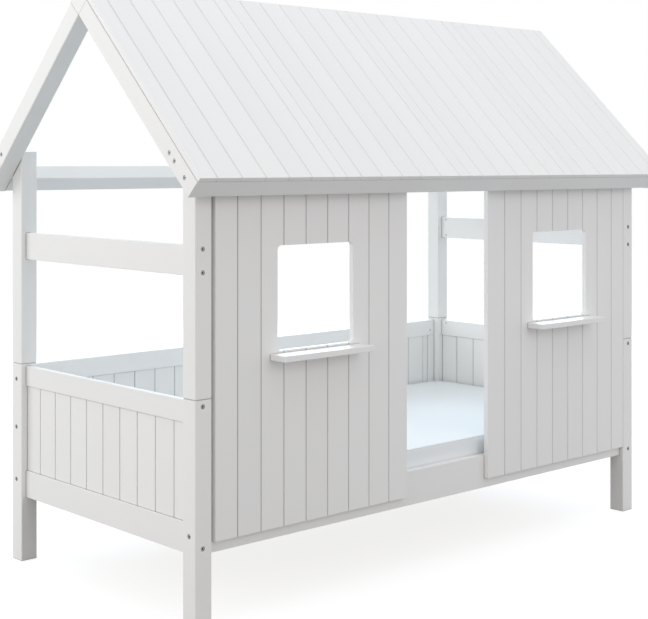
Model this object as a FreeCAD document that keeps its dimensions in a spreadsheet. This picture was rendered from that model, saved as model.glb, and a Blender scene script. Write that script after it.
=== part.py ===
import FreeCAD, Part
import math
import os
import Sketcher

# A child's house frame bed: four posts in two lengths, panelled ends and rear, a front wall of two
# boarded panels with windows, and a pitched roof frame boarded on its front slope.
# Millimetres, +Z up, +Y to the rear, +X to the right, origin on the floor below the middle.

os.makedirs("parts", exist_ok=True)
doc = FreeCAD.newDocument("house_frame_bed")

SIZES = {
    # posts and the frame that they stand in
    "frame_length": 2070,
    "frame_width": 980,
    "post_side": 58,
    "post_height": 1334,
    "post_split": 642,
    "seam_chamfer": 2.5,
    "edge_radius": 3.5,
    # end panels and rear panel
    "rail_setback": 17,
    "rail_thick": 18,
    "rail_radius": 1.5,
    "bottom_rail_bottom": 206,
    "bottom_rail_tall": 86.5,
    "top_rail_bottom": 570,
    "top_rail_tall": 64.5,
    "cross_rail_drop": 351,
    "cross_rail_tall": 86.5,
    "stile_wide": 35,
    "infill_thick": 8,
    "groove_deep": 10,
    "groove_play": 0.4,
    "end_edge_board": 73.9,
    "end_board_shift": -5.2,
    "end_board_joints": 9,
    "rear_edge_board": 38.1,
    "rear_board_joints": 22,
    # tongue and groove
    "tongue_long": 5,
    "joint_gap": 1,
    "joint_play": 0.2,
    "joint_v": 2.5,
    "infill_tongue": 2.4,
    "wall_tongue": 4,
    # front rail, cleats, slats and mattress
    "front_rail_thick": 25,
    "front_rail_bottom": 208,
    "front_rail_tall": 109,
    "cleat_bottom": 212,
    "cleat_tall": 30,
    "cleat_thick": 22,
    "slat_count": 14,
    "slat_wide": 70,
    "slat_thick": 18,
    "slat_end_gap": 2,
    "slat_margin": 20,
    "mattress_thick": 120,
    "mattress_gap": 3,
    "mattress_corner": 75,
    "mattress_edge": 8,
    # front wall panels, windows and sills
    "doorway_wide": 393,
    "wall_thick": 16,
    "wall_bottom": 241,
    "wall_drop": 44,
    "wall_edge_board": 80.9,
    "left_board_shift": 0,
    "right_board_shift": 8,
    "wall_board_joints": 8,
    "left_wall_gap": 13,
    "right_wall_gap": 1,
    "window_wide": 306,
    "left_window_shift": -3.5,
    "right_window_shift": 5.5,
    "window_rise": 111,
    "window_head": 232,
    "window_radius": 13,
    "sill_long": 363,
    "sill_deep": 66,
    "sill_thick": 18,
    "sill_drop": 7,
    "sill_corner": 9,
    "sill_edge": 1.5,
    "sill_screw_spread": 120,
    "wall_batten_tall": 45,
    "wall_batten_thick": 18,
    "wall_batten_inset": 24,
    "wall_batten_rise": 33,
    "window_to_batten": 32,
    "wall_batten_drop": 62,
    "wall_strip_wide": 30,
    "strip_screw_inset": 22,
    "strip_screw_count": 4,
    "bracket_leg": 22,
    "bracket_tall": 20,
    "bracket_thick": 2,
    # roof
    "roof_pitch": 45,
    "roof_gap": 0.6,
    "rafter_wide": 62,
    "beam_side": 59.5,
    "rafter_seam": 0.8,
    "eave_reach": 125,
    "roof_board_thick": 14,
    "roof_edge_board": 55.95,
    "roof_board_shift": 5.65,
    "roof_board_seam": 0.8,
    "roof_board_joints": 6,
    "roof_left_inset": 1.7,
    "roof_panel_seam": 1,
    "roof_panel_count": 4,
    "ridge_gap": 5,
    "roof_batten_margin": 34.25,
    "roof_batten_wide": 45,
    "roof_batten_thick": 18,
    "roof_batten_clear": 2.5,
    # bolts, barrel nuts, threaded inserts, dowels and screws
    "bolt_radius": 3,
    "bolt_head_radius": 6.8,
    "bolt_head_tall": 4,
    "bolt_socket_radius": 3,
    "bolt_socket_deep": 3,
    "bolt_recess": 5,
    "bolt_play": 0.4,
    "nut_radius": 5,
    "nut_long": 14,
    "nut_distance": 26,
    "bolt_past_nut": 8,
    "insert_radius": 5,
    "insert_long": 18,
    "bottom_bolt_up": 24,
    "top_bolt_up": 53,
    "cross_bolt_edge": 10.5,
    "rear_bottom_bolt_up": 57,
    "rear_top_bolt_up": 21,
    "stile_bolt_height": 434,
    "post_bolt_along": 19,
    "post_bolt_step": 32,
    "eave_bolt_inset": 11.5,
    "rafter_bolt_deep": 32,
    "ridge_bolt_spread": 15,
    "dowel_radius": 4,
    "dowel_long": 40,
    "bottom_dowel_up": 59,
    "top_dowel_up": 20,
    "rear_bottom_dowel_up": 24,
    "rear_top_dowel_up": 47,
    "front_dowel_step": 27.5,
    "post_dowel_radius": 5,
    "post_dowel_long": 60,
    "post_dowel_inset": 14,
    "screw_radius": 2,
    "screw_head_radius": 4,
    "screw_head_tall": 2.5,
    "screw_bite": 12,
    "roof_board_bite": 10,
    "sill_screw_bite": 24,
    "bracket_screw_long": 14,
    "front_rail_screw_drop": 17,
    "roof_fixing_inset": 143,
    "roof_fixing_bite": 20,
    "cleat_screw_count": 6,
    "narrow_board_screw": 9,
}

# What follows from the sizes: the planes and lines that pieces are set to.
PLACES = {
    "roof_sin": "=sin(Sizes.roof_pitch)",
    "roof_cos": "=cos(Sizes.roof_pitch)",
    "left_end": "=-Sizes.frame_length / 2",
    "right_end": "=Sizes.frame_length / 2",
    "front_face": "=((Sizes.roof_board_thick + Sizes.roof_board_seam) * roof_sin - Sizes.frame_width) / 2",
    "rear_face": "=front_face + Sizes.frame_width",
    "mid_depth": "=front_face + Sizes.frame_width / 2",
    "roof_line": "=Sizes.post_height + Sizes.roof_gap",
    "slope_long": "=Sizes.frame_width / 2 / roof_cos",
    "apex_height": "=roof_line + Sizes.frame_width / 2 * roof_sin / roof_cos",
    "rail_middle": "=Sizes.rail_setback + Sizes.rail_thick / 2",
    "rail_inner": "=Sizes.rail_setback + Sizes.rail_thick",
    "front_rail_inner": "=Sizes.wall_thick + Sizes.front_rail_thick",
    "front_rail_middle": "=Sizes.wall_thick + Sizes.front_rail_thick / 2",
    "front_rail_centre": "=Sizes.front_rail_bottom + Sizes.front_rail_tall / 2",
    "bottom_rail_top": "=Sizes.bottom_rail_bottom + Sizes.bottom_rail_tall",
    "between_length": "=Sizes.frame_length - 2 * Sizes.post_side",
    "between_width": "=Sizes.frame_width - 2 * Sizes.post_side",
    "slat_bottom": "=Sizes.cleat_bottom + Sizes.cleat_tall",
    "slat_top": "=slat_bottom + Sizes.slat_thick",
    "bed_width": "=Sizes.frame_width - rail_inner - front_rail_inner",
    "slat_long": "=bed_width - 2 * Sizes.slat_end_gap",
    "cross_rail_bottom": "=Sizes.post_height - Sizes.cross_rail_drop",
    "wall_gaps": "=Sizes.left_wall_gap + Sizes.right_wall_gap",
    "wall_wide": "=(between_length - Sizes.doorway_wide - wall_gaps) / 2",
    "left_wall": "=left_end + Sizes.post_side + Sizes.left_wall_gap",
    "right_wall": "=right_end - Sizes.post_side - Sizes.right_wall_gap - wall_wide",
    "wall_top": "=Sizes.post_height - Sizes.wall_drop",
    "wall_tall": "=wall_top - Sizes.wall_bottom",
    "window_bottom": "=Sizes.post_split + Sizes.window_rise",
    "window_top": "=wall_top - Sizes.window_head",
    "wall_batten_low": "=Sizes.post_split + Sizes.wall_batten_rise",
    "wall_batten_middle": "=window_top + Sizes.window_to_batten",
    "wall_batten_high": "=wall_top - Sizes.wall_batten_drop",
    "infill_bottom": "=bottom_rail_top - Sizes.groove_deep",
    "infill_tall": "=Sizes.top_rail_bottom + Sizes.groove_deep - infill_bottom - 2 * Sizes.groove_play",
    "roof_span": "=Sizes.frame_length + 2 * Sizes.rafter_wide - Sizes.roof_left_inset",
    "roof_left": "=left_end - Sizes.rafter_wide + Sizes.roof_left_inset",
    "roof_pitch_wide": "=(roof_span + Sizes.roof_panel_seam) / Sizes.roof_panel_count",
    "roof_panel_wide": "=roof_pitch_wide - Sizes.roof_panel_seam",
    "roof_batten_long": "=roof_panel_wide - 2 * Sizes.roof_batten_margin",
    "roof_board_long": "=Sizes.eave_reach + slope_long - Sizes.ridge_gap",
    "upper_batten_along": "=slope_long - Sizes.beam_side - Sizes.roof_batten_wide",
    "lower_batten_along": "=Sizes.beam_side - Sizes.eave_reach",
}

RIGHT = FreeCAD.Vector(1, 0, 0)
BACK = FreeCAD.Vector(0, 1, 0)
UP = FreeCAD.Vector(0, 0, 1)


def fill_sheet(name, cells):
    """A spreadsheet with a name and a value in each row."""
    sheet = doc.addObject("Spreadsheet::Sheet", name)
    for row, (alias, content) in enumerate(cells.items(), start=1):
        sheet.set(f"A{row}", alias)
        sheet.set(f"B{row}", str(content))
        sheet.setAlias(f"B{row}", alias)
    doc.recompute()
    return sheet


sizes = fill_sheet("Sizes", SIZES)
fill_sheet("Places", PLACES)

blanks = {}
cutters = {}


def value(formula):
    """What a formula gives now, so that a sketch starts close to its final shape."""
    result = sizes.evalExpression(formula)
    return float(getattr(result, "Value", result))


def count(alias):
    """A number of copies, read from the sheet."""
    return int(round(value("Sizes." + alias)))


def aim(z_to, x_to):
    """The turn that carries a piece's own z and x axes to two directions."""
    return FreeCAD.Rotation(x_to, z_to.cross(x_to), z_to, "ZXY")


# Turns for pieces that are modelled along their own z axis.
STANDING = FreeCAD.Rotation()
ALONG_LENGTH = aim(-RIGHT, UP)
ALONG_WIDTH = aim(BACK, UP)
ABOUT_X = FreeCAD.Rotation(RIGHT, 45)
ABOUT_MINUS_X = FreeCAD.Rotation(-RIGHT, 45)


def place(thing, x, y, z, turn=STANDING, angle=None):
    """Set a piece where formulas say; an angle formula turns it about the axis of its turn."""
    thing.Placement = FreeCAD.Placement(FreeCAD.Vector(), turn)
    for axis, formula in zip("xyz", (x, y, z)):
        thing.setExpression(f"Placement.Base.{axis}", formula)
    if angle:
        thing.setExpression("Placement.Rotation.Angle", angle)
    return thing


def from_end(side, distance, wide="0"):
    """An X inside the left or right end; wide is the piece's own size that way."""
    if side == "left":
        return f"Places.left_end + ({distance})"
    return f"Places.right_end - ({distance}) - ({wide})"


def from_face(face, distance, deep="0"):
    """A Y inside the front or rear face; deep is the piece's own size that way."""
    if face == "front":
        return f"Places.front_face + ({distance})"
    return f"Places.rear_face - ({distance}) - ({deep})"


def on_slope(face, along, out):
    """Y and Z of a point on a roof slope, up it from the posts' face and out of the rafters' top."""
    run = f"({along}) * Places.roof_cos - ({out}) * Places.roof_sin"
    height = f"Places.roof_line + ({along}) * Places.roof_sin + ({out}) * Places.roof_cos"
    return from_face(face, run), height


def inward(side):
    """The direction from an end towards the middle."""
    return RIGHT if side == "left" else -RIGHT


def into(face):
    """The direction from the front or rear face towards the middle."""
    return BACK if face == "front" else -BACK


# Sketches and features

def new_body(name):
    return doc.addObject("PartDesign::Body", name)


def new_sketch(body, name, role="XY_Plane"):
    """A sketch on one of a body's own origin planes."""
    sketch = body.newObject("Sketcher::SketchObject", f"{body.Name}_{name}")
    plane = next(item for item in body.Origin.OriginFeatures if item.Role == role)
    sketch.AttachmentSupport = [(plane, "")]
    sketch.MapMode = "FlatFace"
    return sketch


def bind_constraint(sketch, kind, arguments, formula):
    """A dimension whose size is a formula."""
    index = sketch.addConstraint(Sketcher.Constraint(kind, *arguments, value(formula)))
    sketch.setExpression(f"Constraints[{index}]", formula)


def draw_rectangle(sketch, left, low, right, high, radius):
    """A rectangle with rounded corners, from four edges and a radius."""
    x0, y0, x1, y1, r = (value(formula) for formula in (left, low, right, high, radius))
    sides = [
        ((x0 + r, y0), (x1 - r, y0)),
        ((x1, y0 + r), (x1, y1 - r)),
        ((x1 - r, y1), (x0 + r, y1)),
        ((x0, y1 - r), (x0, y0 + r)),
    ]
    centres = [(x1 - r, y0 + r), (x1 - r, y1 - r), (x0 + r, y1 - r), (x0 + r, y0 + r)]
    for start, end in sides:
        sketch.addGeometry(Part.LineSegment(FreeCAD.Vector(*start), FreeCAD.Vector(*end)), False)
    for corner, centre in enumerate(centres):
        first = math.radians(90 * (corner - 1))
        circle = Part.Circle(FreeCAD.Vector(*centre), UP, r)
        sketch.addGeometry(Part.ArcOfCircle(circle, first, first + math.pi / 2), False)
    for corner in range(4):
        sketch.addConstraint(Sketcher.Constraint("Tangent", corner, 2, 4 + corner, 1))
        sketch.addConstraint(Sketcher.Constraint("Tangent", 4 + corner, 2, (corner + 1) % 4, 1))
        sketch.addConstraint(Sketcher.Constraint("Vertical" if corner % 2 else "Horizontal", corner))
    for corner in (5, 6, 7):
        sketch.addConstraint(Sketcher.Constraint("Equal", 4, corner))
    bind_constraint(sketch, "Radius", (4,), radius)
    bind_constraint(sketch, "DistanceX", (-1, 1, 3, 1), left)
    bind_constraint(sketch, "DistanceY", (-1, 1, 0, 1), low)
    bind_constraint(sketch, "DistanceX", (-1, 1, 1, 1), right)
    bind_constraint(sketch, "DistanceY", (-1, 1, 2, 1), high)


def draw_polygon(sketch, corners):
    """A closed outline through corners, each an x formula and a y formula."""
    points = [FreeCAD.Vector(value(x), value(y)) for x, y in corners]
    total = len(points)
    for index, point in enumerate(points):
        sketch.addGeometry(Part.LineSegment(point, points[(index + 1) % total]), False)
    for index in range(total):
        sketch.addConstraint(Sketcher.Constraint("Coincident", index, 2, (index + 1) % total, 1))
    for index, (x, y) in enumerate(corners):
        bind_constraint(sketch, "DistanceX", (-1, 1, index, 1), x)
        bind_constraint(sketch, "DistanceY", (-1, 1, index, 1), y)


def add_pad(body, sketch, length):
    pad = body.newObject("PartDesign::Pad", f"{sketch.Name}_pad")
    pad.Profile = sketch
    pad.setExpression("Length", length)
    doc.recompute()
    return pad


def add_through_pocket(body, sketch):
    """A cut through everything, to both sides of its sketch."""
    pocket = body.newObject("PartDesign::Pocket", f"{sketch.Name}_pocket")
    pocket.Profile = sketch
    pocket.Type = "ThroughAll"
    pocket.Midplane = True
    doc.recompute()
    return pocket


def add_edge_feature(body, kind, base, names, size_property, formula):
    """A fillet or chamfer on named edges, or on all edges of named faces."""
    feature = body.newObject(f"PartDesign::{kind}", f"{body.Name}_{kind.lower()}_{len(body.Group)}")
    feature.Base = (base, names)
    feature.setExpression(size_property, formula)
    doc.recompute()
    return feature


def end_face(shape, high):
    """The name of the flat face at the top or bottom of a shape."""
    order = max if high else min
    best = order(range(len(shape.Faces)), key=lambda i: shape.Faces[i].CenterOfMass.z)
    return f"Face{best + 1}"


def edges_where(shape, wanted):
    """The names of the edges whose middle point passes a test."""
    return [f"Edge{i + 1}" for i, edge in enumerate(shape.Edges) if wanted(edge.CenterOfMass)]


# Blanks: the pieces before their holes, each along its own z axis

def bar(name, wide, deep, length, radius="Sizes.edge_radius", role="XY_Plane"):
    """A squared timber with rounded edges, along its own z axis, or along x from the YZ plane."""
    body = new_body(name)
    sketch = new_sketch(body, "section", role)
    draw_rectangle(sketch, "0", "0", wide, deep, radius)
    add_pad(body, sketch, length)
    return body


def post_length(name, length, seam_on_top):
    """A length of post, its edges chamfered at the seam."""
    body = bar(name, "Sizes.post_side", "Sizes.post_side", length)
    pad = body.Tip
    face = end_face(pad.Shape, seam_on_top)
    add_edge_feature(body, "Chamfer", pad, [face], "Size", "Sizes.seam_chamfer")
    return body


def rail(name, tall, length, groove=None):
    """A rail, its own x up and its own y across; a groove takes the infill boards."""
    body = bar(name, tall, "Sizes.rail_thick", length, "Sizes.rail_radius")
    if groove:
        low = "-Sizes.groove_deep" if groove == "bottom" else f"{tall} - Sizes.groove_deep"
        high = "Sizes.groove_deep" if groove == "bottom" else f"{tall} + Sizes.groove_deep"
        cut_groove(body, low, high)
    return body


def cut_groove(body, low, high):
    """A groove along a rail or stile for the infill boards."""
    half = "(Sizes.infill_thick + Sizes.groove_play) / 2"
    middle = "Sizes.rail_thick / 2"
    sketch = new_sketch(body, "groove")
    near = f"{middle} - {half}"
    far = f"{middle} + {half}"
    draw_polygon(sketch, [(low, near), (high, near), (high, far), (low, far)])
    add_through_pocket(body, sketch)


def stile(name):
    """An end stile of the rear panel, grooved for the boards and tenoned into both rails."""
    between = "Sizes.top_rail_bottom - Places.bottom_rail_top"
    tenon = "(Sizes.groove_deep - Sizes.groove_play)"
    body = bar(name, "Sizes.stile_wide", "Sizes.rail_thick", between, "Sizes.rail_radius")
    cut_groove(body, "Sizes.stile_wide - Sizes.groove_deep", "Sizes.stile_wide + Sizes.groove_deep")
    sketch = new_sketch(body, "tenon")
    sketch.setExpression("AttachmentOffset.Base.z", f"-{tenon}")
    near = "(Sizes.rail_thick - Sizes.infill_thick) / 2"
    far = "(Sizes.rail_thick + Sizes.infill_thick) / 2"
    wide = "Sizes.stile_wide - Sizes.groove_deep"
    draw_polygon(sketch, [("0", near), (wide, near), (wide, far), ("0", far)])
    add_pad(body, sketch, f"{between} + 2 * {tenon}")
    return body


def joint_outline(middle, thick, tongue):
    """The gap between two boards: a V on both faces and a tongue in a wider groove."""
    half_gap = "Sizes.joint_gap / 2"
    half_play = "Sizes.joint_play / 2"
    near = f"({thick} - {tongue}) / 2"
    far = f"({thick} + {tongue}) / 2"
    left = f"{middle} - {half_gap}"
    right = f"{middle} + {half_gap}"
    tongue_end = f"{right} + Sizes.tongue_long"
    groove_end = f"{tongue_end} + Sizes.joint_play"
    return [
        (f"{middle} - Sizes.joint_v", "0"),
        (f"{middle} + Sizes.joint_v", "0"),
        (right, "Sizes.joint_v"),
        (right, f"{near} - {half_play}"),
        (groove_end, f"{near} - {half_play}"),
        (groove_end, f"{far} + {half_play}"),
        (right, f"{far} + {half_play}"),
        (right, f"{thick} - Sizes.joint_v"),
        (f"{middle} + Sizes.joint_v", thick),
        (f"{middle} - Sizes.joint_v", thick),
        (left, f"{thick} - Sizes.joint_v"),
        (left, f"{far} - {half_play}"),
        (tongue_end, f"{far} - {half_play}"),
        (tongue_end, f"{near} + {half_play}"),
        (left, f"{near} + {half_play}"),
        (left, "Sizes.joint_v"),
    ]


def whole_board(wide, edge, joints):
    """How wide each whole board is, between the two edge boards of a panel."""
    return f"(({wide} - 2 * {edge}) / ({joints} - 1))"


def board_middles(wide, edge, shift, joints_name):
    """The middle of each whole board, from its panel's left edge."""
    board_wide = whole_board(wide, edge, f"Sizes.{joints_name}")
    first = f"{edge} + {shift}"
    return [f"{first} + {board_wide} * {index + 0.5}" for index in range(count(joints_name) - 1)]


def boards(name, wide, thick, tall, tongue, edge, joints, shift="0"):
    """A row of tongue-and-groove boards, with narrower boards at both ends; the shift moves all
    the joints along the row, so that one edge board grows as the other shrinks."""
    body = new_body(name)
    outline = new_sketch(body, "outline")
    draw_polygon(outline, [("0", "0"), (wide, "0"), (wide, thick), ("0", thick)])
    add_pad(body, outline, tall)
    joint = new_sketch(body, "joint")
    draw_polygon(joint, joint_outline(f"{edge} + {shift}", thick, tongue))
    pocket = add_through_pocket(body, joint)
    pattern = body.newObject("PartDesign::LinearPattern", f"{name}_joints")
    pattern.Originals = [pocket]
    pattern.Direction = (joint, ["H_Axis"])
    pattern.setExpression("Occurrences", joints)
    pattern.setExpression("Length", f"{whole_board(wide, edge, joints)} * ({joints} - 1)")
    body.Tip = pattern
    doc.recompute()
    return body


def window_middle(side):
    """The middle of a wall's window, from the wall's left edge."""
    return f"(Places.wall_wide / 2 + Sizes.{side}_window_shift)"


def wall_boards(side):
    """The boards of a front wall panel, with the window cut through them."""
    body = boards(f"wall_boards_{side}_blank", "Places.wall_wide", "Sizes.wall_thick",
                  "Places.wall_tall", "Sizes.wall_tongue", "Sizes.wall_edge_board",
                  "Sizes.wall_board_joints", f"Sizes.{side}_board_shift")
    sketch = new_sketch(body, "window", "XZ_Plane")
    draw_rectangle(sketch, f"{window_middle(side)} - Sizes.window_wide / 2",
                   "Places.window_bottom - Sizes.wall_bottom",
                   f"{window_middle(side)} + Sizes.window_wide / 2",
                   "Places.window_top - Sizes.wall_bottom",
                   "Sizes.window_radius")
    add_through_pocket(body, sketch)
    return body


def sill():
    """A window sill: a shelf board with its outer corners rounded."""
    body = new_body("sill_blank")
    sketch = new_sketch(body, "outline")
    long, deep = "Sizes.sill_long", "Sizes.sill_deep"
    draw_polygon(sketch, [("0", "0"), (long, "0"), (long, deep), ("0", deep)])
    pad = add_pad(body, sketch, "Sizes.sill_thick")
    middle = value("Sizes.sill_thick / 2")
    corners = edges_where(pad.Shape, lambda at: at.y < 1 and abs(at.z - middle) < 1)
    rounded = add_edge_feature(body, "Fillet", pad, corners, "Radius", "Sizes.sill_corner")
    faces = [end_face(rounded.Shape, True), end_face(rounded.Shape, False)]
    add_edge_feature(body, "Fillet", rounded, faces, "Radius", "Sizes.sill_edge")
    return body


def mattress():
    """The mattress: rounded corners that clear the posts, a flat top and soft edges."""
    body = new_body("mattress_blank")
    sketch = new_sketch(body, "outline")
    long = "Sizes.frame_length - 2 * Places.rail_inner - 2 * Sizes.mattress_gap"
    draw_rectangle(sketch, "0", "0", long, "Places.bed_width - 2 * Sizes.mattress_gap",
                   "Sizes.mattress_corner")
    pad = add_pad(body, sketch, "Sizes.mattress_thick")
    faces = [end_face(pad.Shape, True), end_face(pad.Shape, False)]
    add_edge_feature(body, "Fillet", pad, faces, "Radius", "Sizes.mattress_edge")
    return body


def ridge_beam():
    """The ridge beam: its two upper faces lie in the roof slopes, its lower faces square to them."""
    body = new_body("ridge_blank")
    sketch = new_sketch(body, "section")
    run = "Sizes.beam_side * Places.roof_cos"
    drop = "Sizes.beam_side * Places.roof_sin"
    deep = "Sizes.beam_side / Places.roof_sin"
    corners = [("0", "0"), (f"-{drop}", f"-{run}"), (f"-{deep}", "0"), (f"-{drop}", run)]
    draw_polygon(sketch, corners)
    pad = add_pad(body, sketch, "Sizes.frame_length + 2 * Sizes.rafter_wide")
    middle = value("Sizes.frame_length / 2 + Sizes.rafter_wide")
    long_edges = edges_where(pad.Shape, lambda at: abs(at.z - middle) < 1)
    add_edge_feature(body, "Fillet", pad, long_edges, "Radius", "Sizes.edge_radius")
    return body


def angle_bracket():
    """An angle bracket, its two legs along its own x and y."""
    body = new_body("bracket_blank")
    sketch = new_sketch(body, "section")
    leg, thick = "Sizes.bracket_leg", "Sizes.bracket_thick"
    corners = [("0", "0"), (leg, "0"), (leg, thick), (thick, thick), (thick, leg), ("0", leg)]
    draw_polygon(sketch, corners)
    add_pad(body, sketch, "Sizes.bracket_tall")
    return body


# Round solids for fasteners and for the spaces they need, each along its own z axis

def cylinder(name, radius, low, high):
    """A cylinder about the z axis from one height to another."""
    solid = doc.addObject("Part::Cylinder", name)
    solid.setExpression("Radius", radius)
    solid.setExpression("Height", f"({high}) - ({low})")
    return place(solid, "0", "0", low)


def combine(kind, name, solids):
    """A fusion or compound of solids."""
    result = doc.addObject(f"Part::{kind}", name)
    setattr(result, "Links" if kind == "Compound" else "Shapes", solids)
    return result


def subtract(name, base, tool):
    result = doc.addObject("Part::Cut", name)
    result.Base = base
    result.Tool = tool
    return result


def bolt(name, end):
    """A bolt with a round head and a hexagon socket, its head sunk below the face at z = 0."""
    seat = "Sizes.bolt_recess"
    top = "Sizes.bolt_recess - Sizes.bolt_head_tall"
    head = cylinder(f"{name}_head", "Sizes.bolt_head_radius", top, seat)
    shank = cylinder(f"{name}_shank", "Sizes.bolt_radius", seat, end)
    socket = doc.addObject("Part::Prism", f"{name}_socket")
    socket.Polygon = 6
    socket.setExpression("Circumradius", "Sizes.bolt_socket_radius")
    socket.setExpression("Height", "Sizes.bolt_socket_deep")
    place(socket, "0", "0", top)
    return subtract(name, combine("MultiFuse", f"{name}_whole", [head, shank]), socket)


def bolt_bore(name, end):
    """The counterbore for a bolt's head and the bore for its shank."""
    wide = "Sizes.bolt_head_radius + Sizes.bolt_play"
    narrow = "Sizes.bolt_radius + Sizes.bolt_play"
    mouth = cylinder(f"{name}_mouth", wide, "-Sizes.bolt_recess", "Sizes.bolt_recess")
    return [mouth, cylinder(f"{name}_shaft", narrow, "0", end)]


def nut_bolt(name, grip, nut_reach):
    """A bolt through a timber into a barrel nut: the bolt, the nut and the space for both."""
    at = f"{grip} + Sizes.nut_distance"
    end = f"{at} + Sizes.bolt_past_nut"
    nut_half = "Sizes.nut_long / 2"
    barrel = cylinder(f"{name}_nut_barrel", "Sizes.nut_radius", f"-{nut_half}", nut_half)
    place(barrel, f"-{nut_half}", "0", at, aim(RIGHT, BACK))
    thread = cylinder(f"{name}_nut_thread", "Sizes.bolt_radius", grip, end)
    nut = subtract(f"{name}_nut", barrel, thread)
    pit = doc.addObject("Part::Cylinder", f"{name}_nut_pit")
    pit.setExpression("Radius", "Sizes.nut_radius")
    pit.setExpression("Height", f"{nut_half} + {nut_reach}")
    place(pit, f"-{nut_half}", "0", at, aim(RIGHT, BACK))
    space = combine("MultiFuse", f"{name}_space", bolt_bore(name, f"{end} + Sizes.bolt_play") + [pit])
    return {"solids": {name: bolt(f"{name}_one", end), "barrel_nuts": nut}, "space": space}


def insert_bolt(name, grip):
    """A bolt through a timber into a threaded insert in the next one."""
    far = f"{grip} + Sizes.insert_long"
    sleeve = cylinder(f"{name}_sleeve", "Sizes.insert_radius", grip, far)
    thread = cylinder(f"{name}_thread", "Sizes.bolt_radius", grip, far)
    insert = subtract(f"{name}_insert", sleeve, thread)
    pit = cylinder(f"{name}_pit", "Sizes.insert_radius", grip, far)
    space = combine("MultiFuse", f"{name}_space", bolt_bore(name, far) + [pit])
    return {"solids": {name: bolt(f"{name}_one", far), "threaded_inserts": insert}, "space": space}


def dowel(name, radius, length):
    """A plain wooden dowel, half in each of two pieces; its hole is its own size."""
    pin = cylinder(f"{name}_one", radius, f"-{length} / 2", f"{length} / 2")
    return {"solids": {name: pin}, "space": pin}


def screw(name, length):
    """A countersunk wood screw, its head flush with the face at z = 0."""
    head = doc.addObject("Part::Cone", f"{name}_head")
    head.setExpression("Radius1", "Sizes.screw_head_radius")
    head.setExpression("Radius2", "Sizes.screw_radius")
    head.setExpression("Height", "Sizes.screw_head_tall")
    shank = cylinder(f"{name}_shank", "Sizes.screw_radius", "Sizes.screw_head_tall", length)
    whole = combine("MultiFuse", f"{name}_one", [head, shank])
    return {"solids": {name: whole}, "space": whole}


# Putting pieces and fasteners in place

def copy_in_place(source, name, x, y, z, turn=STANDING, angle=None):
    link = doc.addObject("App::Link", f"{name}_copy")
    link.LinkedObject = source
    return place(link, x, y, z, turn, angle)


def piece(node, blank, x, y, z, turn=STANDING, angle=None):
    """Add a solid to a node, before the holes for its fasteners."""
    blanks.setdefault(node, []).append(copy_in_place(blank, node, x, y, z, turn, angle))


def fasten(kind, x, y, z, turn=STANDING, through=(), angle=None):
    """Add a fastener, and its space to every piece that it passes through."""
    for node, solid in kind["solids"].items():
        piece(node, solid, x, y, z, turn, angle)
    space = copy_in_place(kind["space"], "space", x, y, z, turn, angle)
    for node in through:
        cutters.setdefault(node, []).append(space)


def build_posts():
    """Four corner posts, each in two lengths joined by two dowels."""
    lower = post_length("post_lower_blank", "Sizes.post_split", True)
    upper = post_length("post_upper_blank", "Sizes.post_height - Sizes.post_split", False)
    pins = dowel("post_dowels", "Sizes.post_dowel_radius", "Sizes.post_dowel_long")
    inset = "Sizes.post_dowel_inset"
    other = "Sizes.post_side - Sizes.post_dowel_inset"
    for face in ("front", "rear"):
        for side in ("left", "right"):
            x = from_end(side, "0", "Sizes.post_side")
            y = from_face(face, "0", "Sizes.post_side")
            lower_node = f"post_lower_{face}_{side}"
            upper_node = f"post_upper_{face}_{side}"
            piece(lower_node, lower, x, y, "0")
            piece(upper_node, upper, x, y, "Sizes.post_split")
            for along, across in ((inset, other), (other, inset)):
                fasten(pins, from_end(side, along), from_face(face, across), "Sizes.post_split",
                       STANDING, [lower_node, upper_node])


def build_end_panels(rail_bolt, rail_dowel):
    """Both ends: a boarded panel between two rails, and a cross rail above."""
    long = "Places.between_width"
    top = rail("end_top_rail_blank", "Sizes.top_rail_tall", long, "bottom")
    bottom = rail("end_bottom_rail_blank", "Sizes.bottom_rail_tall", long, "top")
    cross = rail("end_cross_rail_blank", "Sizes.cross_rail_tall", long)
    infill = boards("end_boards_blank", f"{long} - 2 * Sizes.groove_play", "Sizes.infill_thick",
                    "Places.infill_tall", "Sizes.infill_tongue", "Sizes.end_edge_board",
                    "Sizes.end_board_joints", "Sizes.end_board_shift")
    start = from_face("front", "Sizes.post_side")
    rails = [
        ("end_bottom_rail", bottom, "Sizes.bottom_rail_bottom", ["Sizes.bottom_bolt_up"],
         ["Sizes.bottom_dowel_up"]),
        ("end_top_rail", top, "Sizes.top_rail_bottom", ["Sizes.top_bolt_up"], ["Sizes.top_dowel_up"]),
        ("end_cross_rail", cross, "Places.cross_rail_bottom",
         ["Sizes.cross_bolt_edge", "Sizes.cross_rail_tall - Sizes.cross_bolt_edge"], []),
    ]
    for side in ("left", "right"):
        x = from_end(side, "Sizes.rail_setback", "Sizes.rail_thick")
        x_middle = from_end(side, "Places.rail_middle")
        for name, blank, low, bolts_up, dowels_up in rails:
            node = f"{name}_{side}"
            piece(node, blank, x, start, low, ALONG_WIDTH)
            length = "upper" if name == "end_cross_rail" else "lower"
            for face in ("front", "rear"):
                through = [f"post_{length}_{face}_{side}", node]
                turn = aim(into(face), inward(side))
                for up in bolts_up:
                    fasten(rail_bolt, x_middle, from_face(face, "0"), f"{low} + {up}", turn, through)
                for up in dowels_up:
                    fasten(rail_dowel, x_middle, from_face(face, "Sizes.post_side"),
                           f"{low} + {up}", turn, through)
        board_x = f"{x_middle} + Sizes.infill_thick / 2"
        piece(f"end_boards_{side}", infill, board_x, f"{start} + Sizes.groove_play",
              "Places.infill_bottom", aim(UP, BACK))


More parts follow.
